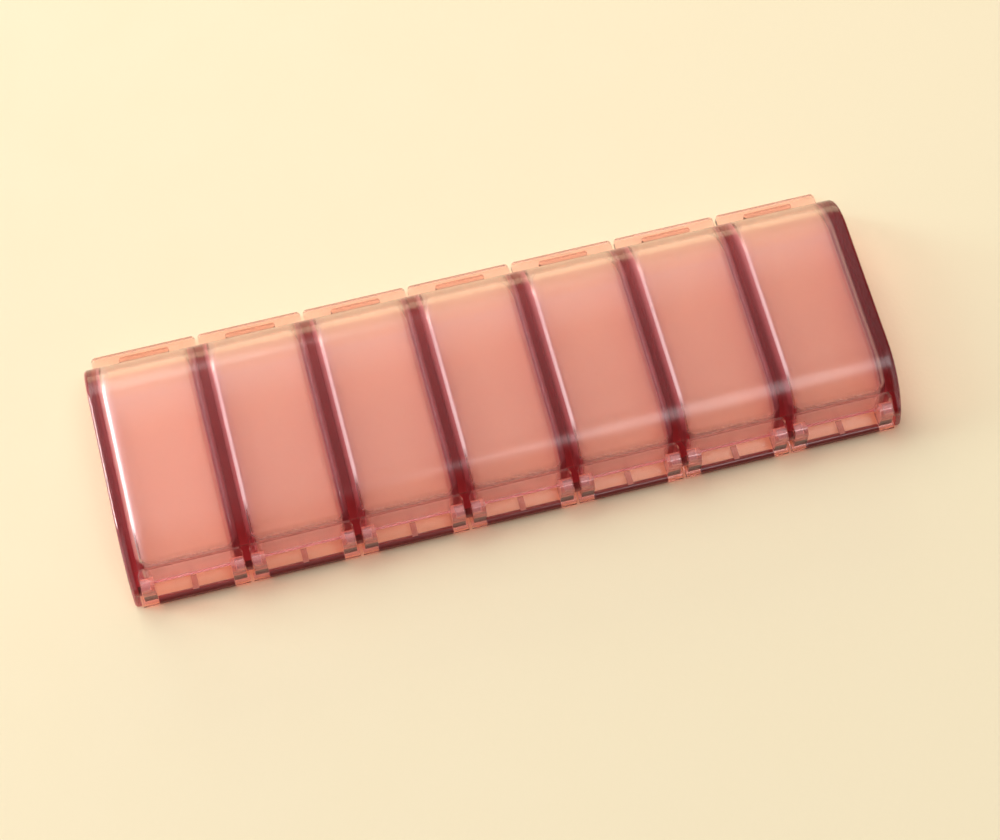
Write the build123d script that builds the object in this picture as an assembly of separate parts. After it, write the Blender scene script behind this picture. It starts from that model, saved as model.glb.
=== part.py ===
from build123d import *
import os
from math import acos, asin, cos, degrees, radians, sin

# Weekly pill box: one long moulded tray with a row of pockets, and one hinged lid for each pocket.
# It lies on its lids, as it was photographed: the lids' flat outer faces are at Z = 0, the tray's
# smooth bottom faces up, +X runs along the row and +Y points from the hinges to the finger tabs.
# All lengths are in millimetres.

# Row of pockets
pockets = 7
pitch = 28.0
end_wall = 1.7

# Tray
height = 16.1
tab_wall = 64.8             # outer face of the tab side wall, from the lids' rear edge
tab_side_radius = 12.3
hinge_side_radius = 17.0
hinge_side_centre = 17.5    # where the flat bottom ends and the hinge side radius starts
shoulder_angle = 46.8       # how far that radius runs round before the hinge wall starts, in degrees
hinge_wall_foot = 5.3       # outer face of the hinge wall at the rim
wall = 1.6
floor = 1.8
divider = 2.2
pocket_bevel = 1.6          # inside corners along a pocket's two sides
shoulder_radius = 3.0       # inside corner between hinge wall and floor
end_edge_radius = 1.1
foot_radius = 1.0

# Lids
lid_depth = 70.2
lid_thickness = 1.8
lid_gap = 0.84
tab_corner = 1.0
rear_bead = 2.2
rim_clearance = 0.15

# Hinges
axis_from_rear = 3.0
axis_height = 6.8
knuckle_radius = 2.0
knuckle_width = 3.3
ear_thickness = 1.7
ear_radius = 2.0
gusset_thickness = 3.6      # where the ear meets the shoulder
gusset_reach = 1.0          # how far the gusset stands out of the shoulder
side_play = 0.2
pin_radius = 1.05
pin_clearance = 0.07
pin_reach = 2.2             # how far a pin stands out of its ear
bore_spare = 0.3            # the bore is deeper than the pin by this much

# Latches and mould marks
latch_length = 13.1
latch_thickness = 1.3
latch_height = 3.4          # top of the latch bar, from the lid's outer face
latch_from_tab = 2.9        # centre line of the latch bar, from the tab's edge
latch_clearance = 0.25
catch_length = 14.5
catch_height = 3.0          # top of the tray's ridge, below the top of the latch bar
mark_width = 1.5
mark_height = 0.6
mark_clearance = 0.4

# Places that follow from the sizes above
length = pockets * pitch + 2 * end_wall
rear = -lid_depth / 2
tab = lid_depth / 2
rim = lid_thickness + rim_clearance
axis_y = rear + axis_from_rear
tab_wall_y = rear + tab_wall
hinge_foot_y = rear + hinge_wall_foot
hinge_arc_y = rear + hinge_side_centre
hinge_arc_z = height - hinge_side_radius
tab_arc_y = tab_wall_y - tab_side_radius
tab_arc_z = height - tab_side_radius
shoulder_y = hinge_arc_y - hinge_side_radius * cos(radians(shoulder_angle))
shoulder_z = hinge_arc_z + hinge_side_radius * sin(radians(shoulder_angle))
bead_y = rear + rear_bead / 2
knuckle_face = pitch / 2 - ear_thickness / 2 - side_play
pocket_centres = [pitch * (number - (pockets - 1) / 2) for number in range(pockets)]
overlap = 0.5               # how deep one primitive runs into the next before they are fused


def bend(centre_y, centre_z, radius, start, end):
    """Arc in (Y, Z) about a centre, from one angle to another, in degrees."""
    points = [
        (centre_y + radius * cos(radians(angle)), centre_z + radius * sin(radians(angle)))
        for angle in (start, (start + end) / 2, end)
    ]
    return ThreePointArc(*points)


def across(face, width, centre=0.0):
    """Extrude a face drawn in (Y, Z) to both sides of a place on X."""
    return extrude(Plane.YZ.offset(centre) * face, amount=width / 2, both=True)


def box_face(y_min, y_max, z_min, z_max):
    return Pos((y_min + y_max) / 2, (z_min + z_max) / 2) * Rectangle(y_max - y_min, z_max - z_min)


def hinge_disc(radius):
    """Circle about the hinge axis, drawn in (Y, Z)."""
    return Pos(axis_y, axis_height) * Circle(radius)


def outer_face(foot_points, hinge_end_angle):
    """Outside of the tray in (Y, Z): tab side, flat bottom, hinge side radius, then the feet."""
    tab_arc = bend(tab_arc_y, tab_arc_z, tab_side_radius, 0, 90)
    bottom = Line((tab_arc_y, height), (hinge_arc_y, height))
    hinge_arc = bend(hinge_arc_y, hinge_arc_z, hinge_side_radius, 90, hinge_end_angle)
    feet = Polyline(hinge_arc @ 1, *foot_points, tab_arc @ 0)
    return make_face(tab_arc + bottom + hinge_arc + feet)


def trough():
    """The tray between its end walls, before the pockets are cut."""
    face = outer_face([(hinge_foot_y, rim), (tab_wall_y, rim)], 180 - shoulder_angle)
    return across(face, length - end_wall)


def end_wall_plate(side):
    """An end wall, which reaches down past the end lid to the lids' outer level."""
    ground_angle = 180 + degrees(asin(hinge_arc_z / hinge_side_radius))
    face = outer_face([(tab_wall_y, 0)], ground_angle)
    face = fillet(face.vertices().filter_by_position(Axis.Y, -0.01, 0.01), foot_radius)
    plate = across(face, end_wall, side * (length - end_wall) / 2)
    outside = plate.faces().sort_by(Axis.X)[-1 if side > 0 else 0]
    return fillet(outside.edges(), end_edge_radius)


def pocket_face():
    """Inside of a pocket in (Y, Z), parallel to the outside and open past the rim."""
    inner_hinge = hinge_side_radius - wall
    inner_tab = tab_side_radius - wall
    extra_floor = floor - wall
    start = degrees(acos((hinge_arc_y - shoulder_y - wall) / inner_hinge))
    tab_arc = bend(tab_arc_y, tab_arc_z - extra_floor, inner_tab, 0, 90)
    bottom = Line((tab_arc_y, height - floor), (hinge_arc_y, height - floor))
    hinge_arc = bend(hinge_arc_y, hinge_arc_z - extra_floor, inner_hinge, 90, 180 - start)
    mouth = Polyline(
        hinge_arc @ 1,
        (hinge_foot_y + wall, rim - overlap),
        (tab_wall_y - wall, rim - overlap),
        tab_arc @ 0,
    )
    face = make_face(tab_arc + bottom + hinge_arc + mouth)
    shoulder = face.vertices().sort_by_distance((shoulder_y + wall, shoulder_z))[0]
    return fillet(shoulder, shoulder_radius)


def pocket():
    """One pocket's hollow, with bevelled inside corners along its two sides."""
    width = pitch - divider
    hollow = across(pocket_face(), width)
    side_edges = [
        edge for edge in hollow.edges() if abs(edge.center().X) > width / 4 and edge.center().Z > rim
    ]
    return chamfer(side_edges, pocket_bevel)


def ear_face():
    """An ear in (Y, Z): a disc about the hinge axis, webbed to the hinge wall."""
    root = Line((hinge_foot_y + overlap, rim + rear_bead / 2), (shoulder_y + overlap, shoulder_z))
    return make_hull([*hinge_disc(ear_radius).edges(), root])


def gusset():
    """The ear thickens above its disc, in a short wedge that widens to the shoulder."""
    above_disc = box_face(rear, shoulder_y + wall, axis_height + ear_radius + side_play, height)
    block = across(ear_face() & above_disc, gusset_thickness)
    wedge = Polyline(
        (-ear_thickness / 2, shoulder_y - gusset_reach),
        (-gusset_thickness / 2, shoulder_y + overlap),
        (gusset_thickness / 2, shoulder_y + overlap),
        (ear_thickness / 2, shoulder_y - gusset_reach),
        close=True,
    )
    return block & extrude(make_face(wedge), height)


def pin(pocket_centre, side):
    """Pivot pin that stands out of an ear or an end wall into the lid's knuckle."""
    reach = ear_thickness / 2 + pin_reach
    return across(hinge_disc(pin_radius), reach, pocket_centre + side * (pitch - reach) / 2)


def catch():
    """Ridge on the tab side wall, just inside the lid's latch bar."""
    front = tab - latch_from_tab - latch_thickness / 2 - latch_clearance
    return across(box_face(tab_wall_y - overlap, front, rim, catch_height), catch_length)


def tray():
    ear = across(ear_face(), ear_thickness) + gusset()
    between_ends = across(box_face(rear, tab, 0, height), length - end_wall)
    boundaries = [pitch * (number - pockets / 2) for number in range(pockets + 1)]
    added = [end_wall_plate(-1), end_wall_plate(1)]
    added += [Pos(x, 0, 0) * ear & between_ends for x in boundaries]
    added += [pin(x, side) for x in pocket_centres for side in (-1, 1)]
    added += [Pos(x, 0, 0) * catch() for x in pocket_centres]
    hollow = pocket()
    return trough() + added - [Pos(x, 0, 0) * hollow for x in pocket_centres]


def lid_plate():
    """Flat lid with rounded tab corners and a round bead along the rear."""
    width = pitch - lid_gap
    outline = Pos(0, (bead_y + tab) / 2) * Rectangle(width, tab - bead_y)
    outline = fillet(outline.vertices().sort_by(Axis.Y)[-2:], tab_corner)
    bead = across(Pos(bead_y, rear_bead / 2) * Circle(rear_bead / 2), width)
    return extrude(outline, lid_thickness) + bead


def knuckle(side):
    """Hinge knuckle on its stem, with a blind bore for the pin."""
    stem = box_face(
        axis_y - knuckle_radius, axis_y + knuckle_radius, lid_thickness - overlap, axis_height
    )
    body = across(hinge_disc(knuckle_radius) + stem, knuckle_width, side * (knuckle_face - knuckle_width / 2))
    depth = pin_reach - side_play + bore_spare
    bore = across(hinge_disc(pin_radius + pin_clearance), depth, side * (knuckle_face - depth / 2))
    return body - bore


def latch_bar():
    slot = SlotOverall(latch_length, latch_thickness)
    base = lid_thickness - overlap
    return Pos(0, tab - latch_from_tab, base) * extrude(slot, latch_height - base)


def mould_mark():
    """Short rib at the middle of the rear edge, between the bead and the hinge wall."""
    face = box_face(bead_y, hinge_foot_y - mark_clearance, lid_thickness - overlap, lid_thickness + mark_height)
    return across(face, mark_width)


def lid():
    return lid_plate() + [knuckle(-1), knuckle(1), latch_bar(), mould_mark()]


bodies = {"tray": tray()}
one_lid = lid()
for number, centre in enumerate(pocket_centres, start=1):
    bodies[f"lid_{number}"] = Pos(centre, 0, 0) * one_lid

os.makedirs("parts", exist_ok=True)
for name, body in bodies.items():
    export_step(body, f"parts/{name}.step")
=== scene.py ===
import math

import bmesh
import bpy
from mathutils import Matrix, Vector
from mathutils.geometry import convex_hull_2d


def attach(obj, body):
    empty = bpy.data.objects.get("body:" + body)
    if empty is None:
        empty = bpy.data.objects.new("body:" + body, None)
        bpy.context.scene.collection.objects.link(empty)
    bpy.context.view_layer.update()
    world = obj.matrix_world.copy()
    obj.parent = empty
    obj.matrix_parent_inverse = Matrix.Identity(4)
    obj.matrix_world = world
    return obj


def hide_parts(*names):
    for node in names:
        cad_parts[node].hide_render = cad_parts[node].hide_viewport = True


# A seven-day pill box of tinted see-through plastic, lying on its lids on a pale table.
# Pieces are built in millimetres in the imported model's axes, then scaled to its metres.

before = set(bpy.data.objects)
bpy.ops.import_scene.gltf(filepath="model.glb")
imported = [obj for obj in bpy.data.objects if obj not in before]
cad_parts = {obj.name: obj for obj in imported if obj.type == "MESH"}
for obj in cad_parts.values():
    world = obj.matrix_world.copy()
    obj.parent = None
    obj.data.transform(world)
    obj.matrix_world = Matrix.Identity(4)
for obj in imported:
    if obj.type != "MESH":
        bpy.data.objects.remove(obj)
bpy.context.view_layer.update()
scene = bpy.context.scene

MM = 0.001

# Camera, fitted to the corners of the lids in the photograph
IMAGE_WIDTH = 1000
FOCAL_PIXELS = 2614.3
SENSOR_WIDTH = 36.0
CAMERA_AZIMUTH = -14.5
CAMERA_ELEVATION = 65.71
CAMERA_DISTANCE = 670.4
LOOK_AT = (0.7, -7.3, 0.0)
NEAREST_SEEN = 0.01
FARTHEST_SEEN = 20.0

# Tray: X along the row, Y from the hinges to the tabs, Z up from the lids' outer faces
POCKETS = 7
PITCH = 28.0
END_WALL = 1.7
HALF_LENGTH = POCKETS * PITCH / 2 + END_WALL
END_INSIDE = HALF_LENGTH - END_WALL
END_MIDDLE = HALF_LENGTH - END_WALL / 2
LID_DEPTH = 70.2
REAR = -LID_DEPTH / 2
TAB = LID_DEPTH / 2
HEIGHT = 16.1
RIM = 1.95
WALL = 1.6
FLOOR = 1.8
DIVIDER = 2.2
HALF_POCKET = (PITCH - DIVIDER) / 2
TAB_WALL_Y = REAR + 64.8
TAB_RADIUS = 12.3
TAB_ARC_Y = TAB_WALL_Y - TAB_RADIUS
TAB_ARC_Z = HEIGHT - TAB_RADIUS
HINGE_RADIUS = 17.0
HINGE_ARC_Y = REAR + 17.5
HINGE_ARC_Z = HEIGHT - HINGE_RADIUS
HINGE_ARC = (HINGE_ARC_Y, HINGE_ARC_Z)
HINGE_FOOT_Y = REAR + 5.3
SHOULDER_ANGLE = 180 - 46.8     # where the hinge side radius ends and the hinge wall starts
SHOULDER_Y = HINGE_ARC_Y + HINGE_RADIUS * math.cos(math.radians(SHOULDER_ANGLE))
SHOULDER_Z = HINGE_ARC_Z + HINGE_RADIUS * math.sin(math.radians(SHOULDER_ANGLE))

# Roundings of the tray, with angles in degrees
POCKET_FILLET = 4.0             # inside corners along a pocket's two sides
FILLET_START = 15.0             # a fillet leaves out its steepest part, beside the divider
FILLET_STEPS = 10
SHOULDER_FILLET = 3.0
SHOULDER_STEP = 6.0
CREASE = 1.5                    # height of the step at the top of the hinge wall
END_ROUND = 1.0
END_STEPS = 6
END_CURVE = 170                 # an end wall follows the hinge side radius to this angle
FOOT_ROUND = 1.05
FLAT_BESIDE_ROUND = 0.3         # a ring of points beside a rounding keeps the rest straight
NEXT_POINT = 0.1                # an arc's points nearer to the next rounding are left out
SHARPEST_MITRE = 0.5
SMOOTH_BELOW = 28

# Hinges and catches
AXIS_Y = REAR + 3.0
AXIS_Z = 6.8
EAR_THICKNESS = 1.7
EAR_RADIUS = 2.0
EAR_FOOT_Z = RIM + 1.1
EAR_STEP = 15.0
GUSSET_THICKNESS = 3.6
GUSSET_REACH = 1.0
GUSSET_BASE = 9.0
PIN_RADIUS = 1.05
PIN_REACH = 2.2
PIN_STEP = 12.0
CATCH_LENGTH = 14.5
CATCH_FRONT = TAB - 3.8
CATCH_TOP = 3.0
OVERLAP = 0.5                   # how deep one form runs into the next before they are joined
SPARE = 1.0                     # how far a cutting form reaches past what it cuts
FAR_OUT = 8.0                   # the same for the large one under the tray

# Telling the tray's faces apart
CLOSE = 0.02                    # two places nearer than this are the same place
OUTER_DEPTH = -0.05             # a face less deep than this stands out of the outer skin
POCKET_DEPTH = 1.0              # a face deeper than this is on the inside of a pocket

# Clear plastic, the same in tray and lids
REFRACTION = 1.49
TINT_DENSITY = 300.0
SURFACE_COLOUR = (0.965, 0.955, 0.96)
CLEAR_ROUGHNESS = 0.03
FROST_ROUGHNESS = 0.70
HANDLED_SCALE = 220.0
HANDLED_RANGE = (0.35, 0.75)
HANDLED_ROUGHNESS = 0.05
WAVE_SCALE = 90.0
WAVE_DETAIL = 1.0
WAVE_HEIGHT = 0.0004
WAVE_STRENGTH = 0.06
SOLID_FROM = 0.62               # painted shade from which the plastic stops being clear
SOLID_FADE = 0.05
DARK_TRANSMISSION = 0.3
HAZE_COLOURED = 0.1             # haze from which the surface has the haze's own colour

# Share of a lamp's light that passes one surface, less where it strikes at a glancing angle
SURFACE_LETS_THROUGH = (0.97, 0.85, 0.82)
# lamps pass less through the painted shade of tray and lids, which deepens the shadows behind it
EDGE_LETS_THROUGH = (0.88, 0.80, 0.79)
BEAD_LETS_THROUGH = (0.45, 0.30, 0.28)
NONE_PASSES = (0.0, 0.0, 0.0)
FACING_BLEND = 0.5
GLANCING_POWER = 4.0

# Tint of the tray, and painted shade: dark painted on its flanks, rims, ears, crease and end-wall
# soles
TRAY_TINT = (0.85, 0.71, 0.72)
PAINTED_SHADE_COLOUR = (0.52, 0.01, 0.03)
# painted shade on the flanks of the dividers and end walls
FLANK_DARKNESS = 0.8
STEEP = 0.68                    # sine of the slope from which a fillet is painted as a dark flank
STEEP_RIGHT = 0.5               # the same on the right-hand side of each pocket
SHADE_BESIDE_FLANK = 0.25                    # painted shade beside the flank on that side
MILD = 0.3                      # sine of the slope where that painted shade ends
# painted shade on the hinge ears above their discs
EAR_DARKNESS = 0.52
EAR_DARK_FROM = AXIS_Z + 0.4
# painted shade along the crease at the top of the hinge wall
CREASE_DARKNESS = 0.6
REAR_DARKER = 1.1               # all of this painted shade is stronger at the hinges
TAB_LIGHTER = 0.26              # and weaker by this much at the tabs

# Frosting of the tray: 0 is clear, 1 is matt
LEAST_FROST = 0.18
OUTSIDE_FROST = 0.22
END_FROST = 0.03
RIM_FROST = 0.5
SIDE_FROST = (1.4, 2.0)         # distances from a pocket's side over which the frosting rises
TAB_FROST = (3.0, 6.0)          # heights over which it rises on the tab side

# Haze of the tray, and painted light on it: a glow painted on the pocket floors towards the tab side,
# and highlights on fillets
FLAT_GLOW_COLOUR = (1.0, 1.0, 1.0)
# warm colour of the glow painted round the bend on the tab side
BEND_GLOW_COLOUR = (1.0, 0.90, 0.62)
WARM_BEND = (TAB_ARC_Y - 2.0, TAB_ARC_Y + 5.0)
# painted glow on the frosted pocket floors
PAINTED_GLOW = 0.14
GLOW_FROST = (OUTSIDE_FROST + 0.05, RIM_FROST)
GLOW_RISE = (TAB_ARC_Y - 12.0, TAB_ARC_Y - 2.0)
EDGE_VEIL = 0.1
EDGE_RISE = (TAB_ARC_Y + 9.0, TAB_ARC_Y + 12.0)
END_VEIL = 0.09
END_SKIN = (END_INSIDE, HALF_LENGTH - 1.5)
END_FALL = (HINGE_ARC_Y - 1.0, HINGE_ARC_Y - 8.0)
SHEEN = 0.85                    # painted highlight on the steeper part of a fillet
SHEEN_RIGHT = 0.25              # the same on the right-hand side of each pocket
SHEEN_FROM = 0.54               # sine of the slope where it starts
SHEEN_RISE = (HINGE_ARC_Y - 4.0, HINGE_ARC_Y - 1.0)
SHEEN_FALL = (TAB_ARC_Y + 8.0, TAB_ARC_Y - 4.0)

# Tint, painted shade and haze of the lids: bead, latch bar, mould mark and tab outline are painted
# dark
LID_TINT = (0.94, 0.67, 0.59)
BEAD_SHADE_COLOUR = (0.25, 0.045, 0.04)
BEAD_WIDTH = 1.75
BEAD_TOP = 2.25
KNUCKLE_END = 4.3               # a knuckle ends this far from the middle of its ear
LATCH_FOOT = 1.85
LATCH_DARKNESS = 0.3
MARK_HALF_WIDTH = 0.95
MARK_DARKNESS = 0.55
OUTLINE_WIDTH = 0.35
OUTLINE_FOOT = 1.4
OUTLINE_DARKNESS = 0.55
KNUCKLE_COLOUR = (1.0, 0.72, 0.72)
KNUCKLE_VEIL = 0.2
KNUCKLE_FRONT = AXIS_Y + 2.2
TAB_EDGE_VEIL = 0.25
TAB_EDGE_WIDTH = 0.15
BLUR = 0.1                      # length over which a mark on a lid fades in
LID_EDGE_ROUND = 0.25
LID_EDGE_STEPS = 2
LID_SHARP_FROM = 50

# Table
TABLE_SIZE = 6.0
TABLE_DROP = 0.1
TABLE_COLOUR = (0.96, 0.82, 0.56)
CLOUD_COLOUR = (0.935, 0.80, 0.545)
CLOUD_SCALE = 3.0
SHINE_SCALE = 60.0
SHINE_ROUGHNESS = (0.62, 0.78)
GRAIN_SCALE = 900.0
GRAIN_HEIGHT = 0.0002
GRAIN_STRENGTH = 0.15
NOISE_RANGE = (0.3, 0.7)        # where most values of a noise lie

# Room: where its light changes along an axis, then the light at both places
ROOM_COLOUR = (0.96, 0.98, 1.0)
ROOM_LIGHT = 0.54
ROOM_EVEN = 0.9
WINDOW_ADDS = (0.4, -0.9, 0.0, 0.55)
FAR_SIDE_TAKES = (0.4, 0.9, 0.0, 0.7)
FRONT_TO_BACK = (-0.6, 0.1, 0.2, 1.1)

# Lamps: name, azimuth, elevation, distance, width, height, power, colour
LAMPS = [
    ("key", -155, 42, 2.2, 1.35, 1.35, 19.0, (1.0, 0.97, 0.93)),
    ("window", -114, 16, 2.4, 0.56, 1.6, 44.0, (1.0, 0.98, 0.97)),
    ("back", 174, 10, 1.6, 1.6, 0.6, 9.0, (1.0, 0.92, 0.55)),
    ("sky", 166, 53, 1.6, 1.6, 0.55, 1.1, (0.98, 0.95, 1.0)),
    ("over", 45, 70, 1.4, 0.45, 0.35, 2.2, (0.97, 0.98, 1.0)),
]
BOUNCES = 24
TRANSPARENT_BOUNCES = 48

CENTRES = [PITCH * (number - (POCKETS - 1) / 2) for number in range(POCKETS)]
BOUNDARIES = [PITCH * (number - POCKETS / 2) for number in range(POCKETS + 1)]


def on_circle(centre, radius, angle):
    turn = math.radians(angle)
    return centre[0] + radius * math.cos(turn), centre[1] + radius * math.sin(turn)


def arc(centre, radius, start, end, step=3.0):
    """Points in (Y, Z) on an arc, both ends included."""
    count = max(2, math.ceil(abs(end - start) / step))
    return [on_circle(centre, radius, start + (end - start) * k / count) for k in range(count + 1)]


def circle(radius, step):
    """Points in (Y, Z) all the way round the hinge axis."""
    return arc((AXIS_Y, AXIS_Z), radius, 0, 360 - step, step)


def rectangle(y_min, y_max, z_min, z_max):
    return [(y_min, z_min), (y_max, z_min), (y_max, z_max), (y_min, z_max)]


def new_object(name, mesh):
    made = bpy.data.objects.new(name, mesh)
    scene.collection.objects.link(made)
    return made


def skin(name, rings):
    """Closed mesh through rings of (X, Y, Z) points of equal count, with flat ends."""
    count = len(rings[0])
    vertices = [point for ring in rings for point in ring]
    faces = []
    for row in range(len(rings) - 1):
        for k in range(count):
            following = (k + 1) % count
            faces.append((row * count + k, row * count + following,
                          (row + 1) * count + following, (row + 1) * count + k))
    faces.append(tuple(reversed(range(count))))
    faces.append(tuple((len(rings) - 1) * count + k for k in range(count)))
    mesh = bpy.data.meshes.new(name)
    mesh.from_pydata(vertices, [], faces)
    shell = bmesh.new()
    shell.from_mesh(mesh)
    bmesh.ops.recalc_face_normals(shell, faces=shell.faces)
    shell.to_mesh(mesh)
    shell.free()
    return new_object(name, mesh)


def prism(name, outline, x_min, x_max):
    """Outline in (Y, Z) pushed straight along X."""
    return skin(name, [[(x, y, z) for y, z in outline] for x in (x_min, x_max)])


def combine(target, tool, operation):
    """Boolean of two closed meshes; the tool is used up."""
    step = target.modifiers.new(operation, "BOOLEAN")
    step.operation = operation
    step.solver = "MANIFOLD"
    step.object = tool
    graph = bpy.context.evaluated_depsgraph_get()
    graph.update()
    result = bpy.data.meshes.new_from_object(target.evaluated_get(graph))
    target.modifiers.clear()
    target.data = result
    bpy.data.objects.remove(tool)
    return target


def joined(pieces, name):
    """Several closed meshes that do not touch, as one object."""
    together = bmesh.new()
    for piece in pieces:
        together.from_mesh(piece.data)
        bpy.data.objects.remove(piece)
    mesh = bpy.data.meshes.new(name)
    together.to_mesh(mesh)
    together.free()
    return new_object(name, mesh)


def with_normals(outline):
    """Each point of a closed outline with the step that moves it outwards by 1."""
    count = len(outline)
    result = []
    for k in range(count):
        before = Vector(outline[k - 1])
        here = Vector(outline[k])
        after = Vector(outline[(k + 1) % count])
        into = (here - before).normalized()
        away = (after - here).normalized()
        along = (into + away).normalized()
        spread = max(SHARPEST_MITRE, along.dot(into))
        result.append((here, Vector((along.y, -along.x)) / spread))
    return result


def rounded_rings(outline, half_width, radius, steps, start=0.0):
    """Rings along X whose outline draws in near both ends, as under a rolling ball."""
    drawn = with_normals(outline)
    turns = [math.radians(start + (90.0 - start) * k / steps) for k in range(steps + 1)]
    face = math.cos(math.radians(start))
    stations = [(radius * (face - math.cos(t)), radius * (1 - math.sin(t))) for t in turns]
    left = [(-half_width + depth, inset) for depth, inset in stations]
    left.append((-half_width + radius + FLAT_BESIDE_ROUND, 0.0))
    right = [(-x, inset) for x, inset in reversed(left)]
    return [
        [(x, point.x - normal.x * inset, point.y - normal.y * inset) for point, normal in drawn]
        for x, inset in left + right
    ]


def rounded_corner(before, corner, after, radius, step=15.0):
    """Arc that replaces a corner of a polygon, in (Y, Z)."""
    here = Vector(corner)
    into = (here - Vector(before)).normalized()
    away = (Vector(after) - here).normalized()
    turn = into.angle_signed(away)
    reach = radius * math.tan(abs(turn) / 2)
    start = here - into * reach
    side = Vector((-into.y, into.x)) if turn < 0 else Vector((into.y, -into.x))
    centre = start + side * radius
    spoke = start - centre
    count = max(2, math.ceil(math.degrees(abs(turn)) / step))
    points = []
    for k in range(count + 1):
        angle = -turn * k / count
        cosine = math.cos(angle)
        sine = math.sin(angle)
        points.append((
            centre.x + spoke.x * cosine - spoke.y * sine,
            centre.y + spoke.x * sine + spoke.y * cosine,
        ))
    return points


def outside_outline():
    """Outside of an end wall, round from the tab side over the bottom to the hinge side."""
    tab_arc = arc((TAB_ARC_Y, TAB_ARC_Z), TAB_RADIUS, 0, 90)
    over = arc(HINGE_ARC, HINGE_RADIUS, 90, SHOULDER_ANGLE)
    down = arc(HINGE_ARC, HINGE_RADIUS, SHOULDER_ANGLE, END_CURVE)
    ground_angle = 180 + math.degrees(math.asin(HINGE_ARC_Z / HINGE_RADIUS))
    toe = on_circle(HINGE_ARC, HINGE_RADIUS, ground_angle)
    heel = (TAB_WALL_Y, 0.0)
    hinge_toe = rounded_corner(down[-1], toe, heel, FOOT_ROUND)
    tab_heel = rounded_corner(toe, heel, tab_arc[0], FOOT_ROUND)
    return tab_arc + over + down[1:] + hinge_toe + tab_heel


def pocket_outline():
    """Inside of a pocket, parallel to the outside and open past the rim."""
    extra_floor = FLOOR - WALL
    inner_hinge = HINGE_RADIUS - WALL
    shoulder_turn = math.degrees(math.acos((HINGE_ARC_Y - SHOULDER_Y - WALL) / inner_hinge))
    tab_arc = arc((TAB_ARC_Y, TAB_ARC_Z - extra_floor), TAB_RADIUS - WALL, 0, 90)
    hinge_arc = arc((HINGE_ARC_Y, HINGE_ARC_Z - extra_floor), inner_hinge, 90, 180 - shoulder_turn)
    below = RIM - POCKET_FILLET - SPARE
    mouth = [(HINGE_FOOT_Y + WALL, below), (TAB_WALL_Y - WALL, below)]
    shoulder = rounded_corner(hinge_arc[-2], hinge_arc[-1], mouth[0], SHOULDER_FILLET, SHOULDER_STEP)
    kept = [point for point in hinge_arc[:-1] if point[0] > shoulder[0][0] + NEXT_POINT]
    return tab_arc + kept + shoulder + mouth


def tray_shell():
    """Trough with both end walls, hollowed into pockets."""
    shell = skin("tray_shell", rounded_rings(outside_outline(), HALF_LENGTH, END_ROUND, END_STEPS))
    under = [
        (SHOULDER_Y, SHOULDER_Z),
        (SHOULDER_Y, SHOULDER_Z - CREASE),
        (HINGE_FOOT_Y, RIM),
        (TAB + FAR_OUT, RIM),
        (TAB + FAR_OUT, -FAR_OUT),
        (REAR - FAR_OUT, -FAR_OUT),
        (REAR - FAR_OUT, SHOULDER_Z),
    ]
    combine(shell, prism("under", under, -END_INSIDE, END_INSIDE), "DIFFERENCE")
    rings = rounded_rings(pocket_outline(), HALF_POCKET, POCKET_FILLET, FILLET_STEPS, FILLET_START)
    hollows = []
    for centre in CENTRES:
        hollows.append(skin("hollow", [[(x + centre, y, z) for x, y, z in ring] for ring in rings]))
    return combine(shell, joined(hollows, "hollows"), "DIFFERENCE")


def ear_outline():
    """An ear in (Y, Z): a disc about the hinge axis, webbed to the hinge wall."""
    points = circle(EAR_RADIUS, EAR_STEP)
    points += [(HINGE_FOOT_Y + OVERLAP, EAR_FOOT_Z), (SHOULDER_Y + OVERLAP, SHOULDER_Z)]
    return [points[k] for k in convex_hull_2d([Vector(p) for p in points])]


def ear(boundary):
    """Hinge ear with a thicker wedge above its disc; an outer ear ends inside its end wall."""
    half = EAR_THICKNESS / 2
    wide = GUSSET_THICKNESS / 2
    plate = prism("ear", ear_outline(), boundary - half, boundary + half)
    wedge = [
        (half, SHOULDER_Y - GUSSET_REACH),
        (wide, SHOULDER_Y + OVERLAP),
        (-wide, SHOULDER_Y + OVERLAP),
        (-half, SHOULDER_Y - GUSSET_REACH),
    ]
    gusset = skin("gusset", [[(boundary + x, y, z) for x, y in wedge] for z in (GUSSET_BASE, HEIGHT)])
    limits = prism("limits", ear_outline(), boundary - wide - SPARE, boundary + wide + SPARE)
    combine(gusset, limits, "INTERSECT")
    combine(plate, gusset, "UNION")
    if abs(boundary) < BOUNDARIES[-1]:
        return plate
    row = rectangle(REAR - SPARE, TAB + SPARE, 0, HEIGHT + SPARE)
    return combine(plate, prism("row", row, -END_MIDDLE, END_MIDDLE), "INTERSECT")


def pin(boundary):
    """Pivot pins on both sides of an ear, or on the inner side of an end wall."""
    reach = EAR_THICKNESS / 2 + PIN_REACH
    low = max(boundary - reach, -END_MIDDLE)
    high = min(boundary + reach, END_MIDDLE)
    return prism("pin", circle(PIN_RADIUS, PIN_STEP), low, high)


def catch(centre):
    """Ridge on the tab side wall, just inside a lid's latch bar."""
    half = CATCH_LENGTH / 2
    outline = rectangle(TAB_WALL_Y - OVERLAP, CATCH_FRONT, RIM, CATCH_TOP)
    return prism("catch", outline, centre - half, centre + half)


def share(value, start, end):
    """How far a value has come from one number to another, held between 0 and 1."""
    return min(max((value - start) / (end - start), 0.0), 1.0)


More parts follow.
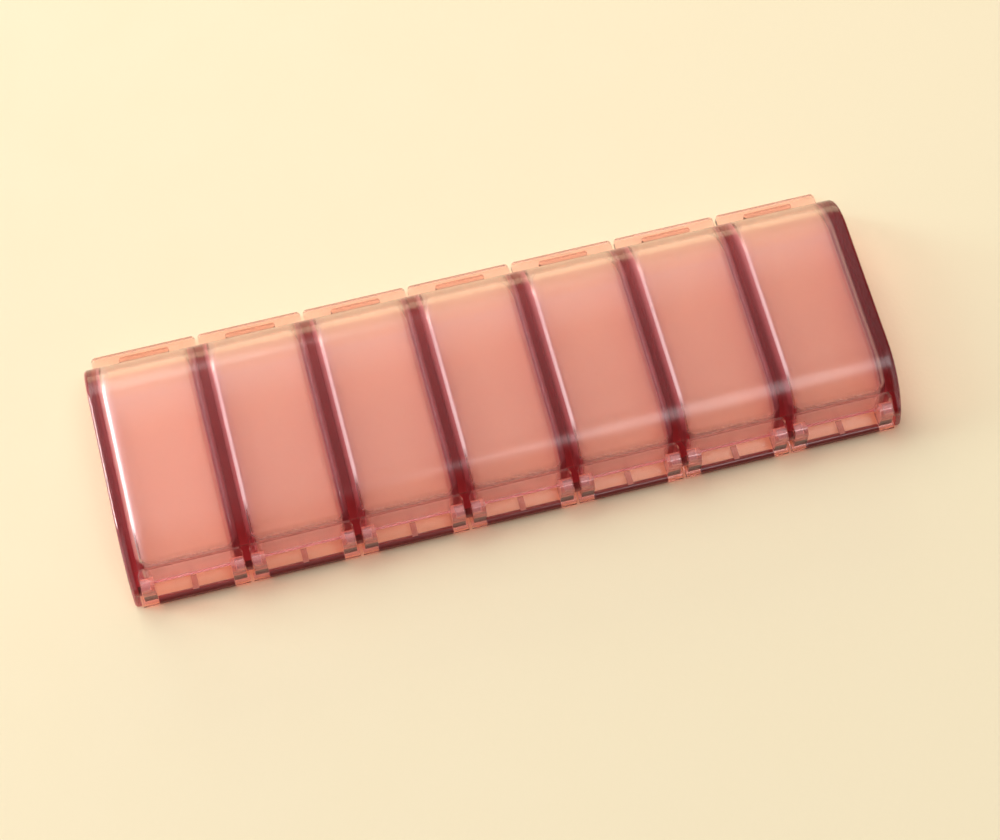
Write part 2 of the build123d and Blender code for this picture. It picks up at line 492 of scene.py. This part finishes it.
def depth_inside(y, z):
    """How far a point lies inside the tray's outer skin, in (Y, Z)."""
    if y > TAB_ARC_Y and z > TAB_ARC_Z:
        return TAB_RADIUS - math.hypot(y - TAB_ARC_Y, z - TAB_ARC_Z)
    if y < HINGE_ARC_Y and z > SHOULDER_Z:
        return HINGE_RADIUS - math.hypot(y - HINGE_ARC_Y, z - HINGE_ARC_Z)
    return min(HEIGHT - z, TAB_WALL_Y - y, y - HINGE_FOOT_Y)


def in_pocket(face):
    return depth_inside(face.center.y, face.center.z) > POCKET_DEPTH


def on_rim(face):
    return abs(face.center.z - RIM) < CLOSE


def pocket_frost(x, y, z):
    """Frosting of a pocket at a point: least along its sides and at the rim on the tab side."""
    from_side = HALF_POCKET - min(abs(x - centre) for centre in CENTRES)
    over_tab = share(z, *TAB_FROST) if y > 0 else 1.0
    return max(share(from_side, *SIDE_FROST) * over_tab, LEAST_FROST)


def frosting(face, place):
    """Frosting at one corner of a face."""
    if on_rim(face):
        return RIM_FROST
    if abs(place.x) > END_MIDDLE:
        return END_FROST
    return pocket_frost(*place) if in_pocket(face) else OUTSIDE_FROST


def darkness(face):
    """Painted shade of a face: the soles of the end walls, crease, ears, rims and flanks of the
    pockets are painted dark.
    """
    x, y, z = face.center
    if abs(x) > END_INSIDE + CLOSE:
        return 1.0 if z < FOOT_ROUND else 0.0
    if abs(y - SHOULDER_Y) < CLOSE and z > SHOULDER_Z - CREASE:
        return CREASE_DARKNESS
    if depth_inside(y, z) < OUTER_DEPTH:
        return EAR_DARKNESS if z > EAR_DARK_FROM else 0.0
    if not in_pocket(face):
        return 0.0
    if on_rim(face):
        return 1.0
    if face.normal.x > STEEP or face.normal.x < -STEEP_RIGHT:
        return FLANK_DARKNESS
    return SHADE_BESIDE_FLANK if face.normal.x < -MILD else 0.0


def painted_highlight(face):
    """Painted highlight on a face: a bright line along the steeper part of a pocket's fillet."""
    if not in_pocket(face) or not SHEEN_FROM < abs(face.normal.x) < STEEP:
        return 0.0
    return SHEEN if face.normal.x > 0 else SHEEN_RIGHT


def paint_tray(mesh):
    """Notes frosting, painted shade and painted highlights at the corners of the faces, for the
    material.
    """
    painted = {"frost": [], "edge": [], "painted_sheen": []}
    for face in mesh.polygons:
        dark = darkness(face)
        bright = painted_highlight(face)
        for corner in face.loop_indices:
            place = mesh.vertices[mesh.loops[corner].vertex_index].co
            from_rear = (place.y - REAR) / LID_DEPTH
            along = min(share(place.y, *SHEEN_RISE), share(place.y, *SHEEN_FALL))
            painted["frost"].append(frosting(face, place))
            painted["edge"].append(min(dark * (REAR_DARKER - TAB_LIGHTER * from_rear), 1.0))
            painted["painted_sheen"].append(bright * along)
    for name, values in painted.items():
        mesh.attributes.new(name, "FLOAT", "CORNER").data.foreach_set("value", values)


def build_tray(material):
    tray = tray_shell()
    combine(tray, joined([ear(x) for x in BOUNDARIES], "ears"), "UNION")
    combine(tray, joined([pin(x) for x in BOUNDARIES], "pins"), "UNION")
    combine(tray, joined([catch(x) for x in CENTRES], "catches"), "UNION")
    paint_tray(tray.data)
    for vertex in tray.data.vertices:
        vertex.co *= MM
    tray.data.polygons.foreach_set("use_smooth", [True] * len(tray.data.polygons))
    tray.data.set_sharp_from_angle(angle=math.radians(SMOOTH_BELOW))
    tray.name = "tray_moulding"
    tray.data.materials.clear()
    tray.data.materials.append(material)
    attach(tray, "tray")
    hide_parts("tray")


def dress_lids(material):
    for name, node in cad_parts.items():
        if name.startswith("lid"):
            node.data.materials.clear()
            node.data.materials.append(material)
            soft = node.modifiers.new("soft_edges", "BEVEL")
            soft.width = LID_EDGE_ROUND * MM
            soft.segments = LID_EDGE_STEPS
            soft.limit_method = "ANGLE"
            soft.angle_limit = math.radians(LID_SHARP_FROM)


def new_material(name):
    material = bpy.data.materials.new(name)
    material.use_nodes = True
    material.node_tree.nodes.clear()
    return material, material.node_tree, material.node_tree.links


def ramp(tree, value, start, end, low=0.0, high=1.0):
    """A value carried over from one range to another, and held at both ends."""
    node = tree.nodes.new("ShaderNodeMapRange")
    node.inputs["From Min"].default_value = start
    node.inputs["From Max"].default_value = end
    node.inputs["To Min"].default_value = low
    node.inputs["To Max"].default_value = high
    tree.links.new(value, node.inputs["Value"])
    return node.outputs["Result"]


def fade(tree, place, start, end, low=0.0, high=1.0):
    """The same between two places on one axis, in millimetres."""
    return ramp(tree, place, start * MM, end * MM, low, high)


def maths(tree, operation, first, *others):
    """Values joined one after another by an operation; all but the first may be plain numbers."""
    result = first
    for other in others:
        node = tree.nodes.new("ShaderNodeMath")
        node.operation = operation
        tree.links.new(result, node.inputs[0])
        if isinstance(other, float):
            node.inputs[1].default_value = other
        else:
            tree.links.new(other, node.inputs[1])
        result = node.outputs["Value"]
    return result


def blended(tree, factor, first, second):
    """Colour between two, by a factor."""
    node = tree.nodes.new("ShaderNodeMix")
    node.data_type = "RGBA"
    for socket, colour in (("A", first), ("B", second)):
        if isinstance(colour, tuple):
            node.inputs[socket].default_value = (*colour, 1.0)
        else:
            tree.links.new(colour, node.inputs[socket])
    tree.links.new(factor, node.inputs["Factor"])
    return node.outputs["Result"]


def attribute(tree, name):
    node = tree.nodes.new("ShaderNodeAttribute")
    node.attribute_name = name
    return node.outputs["Fac"]


def noise(tree, scale, detail=2.0):
    place = tree.nodes.new("ShaderNodeTexCoord")
    node = tree.nodes.new("ShaderNodeTexNoise")
    node.inputs["Scale"].default_value = scale
    node.inputs["Detail"].default_value = detail
    tree.links.new(place.outputs["Object"], node.inputs["Vector"])
    return node.outputs["Fac"]


def bumped(tree, height, distance, strength):
    node = tree.nodes.new("ShaderNodeBump")
    node.inputs["Distance"].default_value = distance
    node.inputs["Strength"].default_value = strength
    tree.links.new(height, node.inputs["Height"])
    return node.outputs["Normal"]


def axes(tree, coordinates):
    """X, Y and Z of a point on the piece, in metres, or of a direction in the room."""
    place = tree.nodes.new("ShaderNodeTexCoord")
    apart = tree.nodes.new("ShaderNodeSeparateXYZ")
    tree.links.new(place.outputs[coordinates], apart.inputs["Vector"])
    return [apart.outputs[axis] for axis in "XYZ"]


def raised_part(tree, z):
    """1 on what stands up from a lid's plate."""
    return fade(tree, z, LATCH_FOOT, LATCH_FOOT + BLUR)


def lid_painted_shade(tree):
    """Painted shade of a lid: its rear bead, latch bar, mould mark and the outline of its tab are
    painted dark.
    """
    x, y, z = axes(tree, "Object")
    from_ear = maths(tree, "PINGPONG", maths(tree, "ADD", x, PITCH / 2 * MM), PITCH / 2 * MM)
    low = fade(tree, z, BEAD_TOP + BLUR, BEAD_TOP)
    rear = fade(tree, y, REAR + BEAD_WIDTH + BLUR, REAR + BEAD_WIDTH - BLUR)
    between = fade(tree, from_ear, KNUCKLE_END, KNUCKLE_END + 2 * BLUR)
    bead = maths(tree, "MULTIPLY", low, rear, between)
    latch = fade(tree, y, TAB_WALL_Y - BLUR, TAB_WALL_Y, 0.0, LATCH_DARKNESS)
    middle = fade(tree, from_ear, PITCH / 2 - MARK_HALF_WIDTH, PITCH / 2 - MARK_HALF_WIDTH + BLUR)
    behind = fade(tree, y, 0.0, -1.0, 0.0, MARK_DARKNESS)
    mark = maths(tree, "MULTIPLY", middle, behind)
    small = maths(tree, "MULTIPLY", raised_part(tree, z), maths(tree, "MAXIMUM", latch, mark))
    outer = fade(tree, y, TAB - OUTLINE_WIDTH, TAB - OUTLINE_WIDTH + BLUR, 0.0, OUTLINE_DARKNESS)
    upper = fade(tree, z, OUTLINE_FOOT, OUTLINE_FOOT + BLUR)
    outline = maths(tree, "MULTIPLY", outer, upper)
    return maths(tree, "MAXIMUM", bead, small, outline)


def lid_haze(tree):
    """Haze that makes the hinge knuckles and the edge of the tab lighter and paler."""
    y, z = axes(tree, "Object")[1:]
    rear = fade(tree, y, KNUCKLE_FRONT + BLUR, KNUCKLE_FRONT - BLUR, 0.0, KNUCKLE_VEIL)
    knuckles = maths(tree, "MULTIPLY", raised_part(tree, z), rear)
    edge = fade(tree, y, TAB - TAB_EDGE_WIDTH, TAB - TAB_EDGE_WIDTH + BLUR, 0.0, TAB_EDGE_VEIL)
    return maths(tree, "MAXIMUM", knuckles, edge)


def tray_haze_and_painted_light(tree):
    """Haze and painted light of the tray: a glow painted on the pocket floors towards the tab side,
    haze on the wall on the tab side and low on the ends, and highlights painted on fillets.
    """
    x, y = axes(tree, "Object")[:2]
    glow_on_frost = ramp(tree, attribute(tree, "frost"), *GLOW_FROST, 0.0, PAINTED_GLOW)
    floors = maths(tree, "MULTIPLY", glow_on_frost, fade(tree, y, *GLOW_RISE))
    tab_wall = fade(tree, y, *EDGE_RISE, 0.0, EDGE_VEIL)
    at_end = fade(tree, maths(tree, "ABSOLUTE", x, 0.0), *END_SKIN)
    ends = maths(tree, "MULTIPLY", at_end, fade(tree, y, *END_FALL, 0.0, END_VEIL))
    return maths(tree, "MAXIMUM", floors, tab_wall, ends, attribute(tree, "painted_sheen"))


def glow_colour(tree):
    """Colour of the tray's veils and painted light: white on the flat bottom, and a warm glow painted
    round the bend on the tab side.
    """
    y = axes(tree, "Object")[1]
    return blended(tree, fade(tree, y, *WARM_BEND), FLAT_GLOW_COLOUR, BEND_GLOW_COLOUR)


def plastic_surface(tree, dark, dark_colour, haze_and_painted_light, haze_and_light_colour):
    """What the eye sees: a refracting surface, cloudy where it is hazy, lighter where light is
    painted, and solid where shade is painted.
    """
    plastic = tree.nodes.new("ShaderNodeBsdfPrincipled")
    plastic.inputs["IOR"].default_value = REFRACTION
    clear = ramp(tree, dark, SOLID_FROM, SOLID_FROM + SOLID_FADE, 1.0, DARK_TRANSMISSION)
    see_through = maths(tree, "MULTIPLY", clear, ramp(tree, haze_and_painted_light, 0.0, 1.0, 1.0, 0.0))
    tree.links.new(see_through, plastic.inputs["Transmission Weight"])
    plain = blended(tree, ramp(tree, haze_and_painted_light, 0.0, HAZE_COLOURED), SURFACE_COLOUR, haze_and_light_colour)
    tree.links.new(blended(tree, dark, plain, dark_colour), plastic.inputs["Base Color"])
    matt = ramp(tree, attribute(tree, "frost"), 0.0, 1.0, CLEAR_ROUGHNESS, FROST_ROUGHNESS)
    handled = ramp(tree, noise(tree, HANDLED_SCALE), *HANDLED_RANGE, 0.0, HANDLED_ROUGHNESS)
    tree.links.new(maths(tree, "ADD", matt, handled), plastic.inputs["Roughness"])
    waves = bumped(tree, noise(tree, WAVE_SCALE, WAVE_DETAIL), WAVE_HEIGHT, WAVE_STRENGTH)
    tree.links.new(waves, plastic.inputs["Normal"])
    return plastic.outputs["BSDF"]


def lamp_filter(tree, dark, dark_lets_through):
    """What a lamp meets: a tinted film that its light passes straight through, less where shade is
    painted.
    """
    film = tree.nodes.new("ShaderNodeBsdfTransparent")
    facing = tree.nodes.new("ShaderNodeLayerWeight")
    facing.inputs["Blend"].default_value = FACING_BLEND
    glancing = maths(tree, "POWER", facing.outputs["Facing"], GLANCING_POWER)
    let_through = blended(tree, dark, SURFACE_LETS_THROUGH, dark_lets_through)
    tree.links.new(blended(tree, glancing, let_through, NONE_PASSES), film.inputs["Color"])
    return film.outputs["BSDF"]


def tinted_plastic(name, lid):
    """Clear tinted plastic: it refracts for the eye, and lets lamps through to what lies behind it."""
    material, tree, links = new_material(name)
    if lid:
        dark = lid_painted_shade(tree)
        surface = plastic_surface(tree, dark, BEAD_SHADE_COLOUR, lid_haze(tree), KNUCKLE_COLOUR)
        film = lamp_filter(tree, dark, BEAD_LETS_THROUGH)
    else:
        dark = attribute(tree, "edge")
        surface = plastic_surface(tree, dark, PAINTED_SHADE_COLOUR, tray_haze_and_painted_light(tree), glow_colour(tree))
        film = lamp_filter(tree, dark, EDGE_LETS_THROUGH)
    light_path = tree.nodes.new("ShaderNodeLightPath")
    mix = tree.nodes.new("ShaderNodeMixShader")
    links.new(light_path.outputs["Is Shadow Ray"], mix.inputs["Fac"])
    links.new(surface, mix.inputs[1])
    links.new(film, mix.inputs[2])
    absorption = tree.nodes.new("ShaderNodeVolumeAbsorption")
    absorption.inputs["Color"].default_value = (*(LID_TINT if lid else TRAY_TINT), 1.0)
    absorption.inputs["Density"].default_value = TINT_DENSITY
    output = tree.nodes.new("ShaderNodeOutputMaterial")
    links.new(mix.outputs["Shader"], output.inputs["Surface"])
    links.new(absorption.outputs["Volume"], output.inputs["Volume"])
    return material


def table_material():
    """Smooth painted board: warm cream with faint clouds and a fine grain."""
    material, tree, links = new_material("table")
    surface = tree.nodes.new("ShaderNodeBsdfPrincipled")
    clouds = ramp(tree, noise(tree, CLOUD_SCALE), *NOISE_RANGE)
    links.new(blended(tree, clouds, TABLE_COLOUR, CLOUD_COLOUR), surface.inputs["Base Color"])
    shine = ramp(tree, noise(tree, SHINE_SCALE), *NOISE_RANGE, *SHINE_ROUGHNESS)
    links.new(shine, surface.inputs["Roughness"])
    grain = bumped(tree, noise(tree, GRAIN_SCALE), GRAIN_HEIGHT, GRAIN_STRENGTH)
    links.new(grain, surface.inputs["Normal"])
    output = tree.nodes.new("ShaderNodeOutputMaterial")
    links.new(surface.outputs["BSDF"], output.inputs["Surface"])
    return material


def add_table():
    bpy.ops.mesh.primitive_plane_add(size=TABLE_SIZE, location=(0, 0, -TABLE_DROP * MM))
    table = bpy.context.object
    table.name = "table"
    table.data.materials.append(table_material())


def away_vector(azimuth, elevation):
    """Unit vector to a compass direction: azimuth 0 is -Y, 90 is +X."""
    turn = math.radians(azimuth)
    rise = math.radians(elevation)
    return Vector((math.sin(turn) * math.cos(rise), -math.cos(turn) * math.cos(rise), math.sin(rise)))


def add_softbox(name, azimuth, elevation, distance, wide, tall, power, colour):
    """A rectangular lamp that faces the object."""
    away = away_vector(azimuth, elevation)
    lamp = bpy.data.lights.new(name, "AREA")
    lamp.shape = "RECTANGLE"
    lamp.size = wide
    lamp.size_y = tall
    lamp.energy = power
    lamp.color = colour
    holder = new_object(name, lamp)
    holder.location = away * distance
    holder.rotation_euler = (-away).to_track_quat("-Z", "Y").to_euler()


def add_world():
    """A plain room, brighter on the side of the window and darker behind the camera."""
    world = bpy.data.worlds.new("studio")
    world.use_nodes = True
    tree = world.node_tree
    x, y = axes(tree, "Generated")[:2]
    window = maths(tree, "ADD", ramp(tree, x, *WINDOW_ADDS), ROOM_EVEN)
    sideways = maths(tree, "SUBTRACT", window, ramp(tree, x, *FAR_SIDE_TAKES))
    strength = maths(tree, "MULTIPLY", sideways, ramp(tree, y, *FRONT_TO_BACK), ROOM_LIGHT)
    background = tree.nodes["Background"]
    background.inputs["Color"].default_value = (*ROOM_COLOUR, 1.0)
    tree.links.new(strength, background.inputs["Strength"])
    scene.world = world


def add_camera():
    back = away_vector(CAMERA_AZIMUTH, CAMERA_ELEVATION)
    data = bpy.data.cameras.new("camera")
    data.sensor_width = SENSOR_WIDTH
    data.lens = FOCAL_PIXELS / IMAGE_WIDTH * SENSOR_WIDTH
    data.clip_start = NEAREST_SEEN
    data.clip_end = FARTHEST_SEEN
    camera = new_object("camera", data)
    camera.location = (Vector(LOOK_AT) + back * CAMERA_DISTANCE) * MM
    camera.rotation_euler = (-back).to_track_quat("-Z", "Y").to_euler()
    scene.camera = camera


add_table()
add_world()
add_camera()
for lamp in LAMPS:
    add_softbox(*lamp)
dress_lids(tinted_plastic("lid_plastic", True))
build_tray(tinted_plastic("tray_plastic", False))

scene.view_settings.view_transform = "Standard"
scene.cycles.max_bounces = BOUNCES
scene.cycles.transmission_bounces = BOUNCES
scene.cycles.transparent_max_bounces = TRANSPARENT_BOUNCES
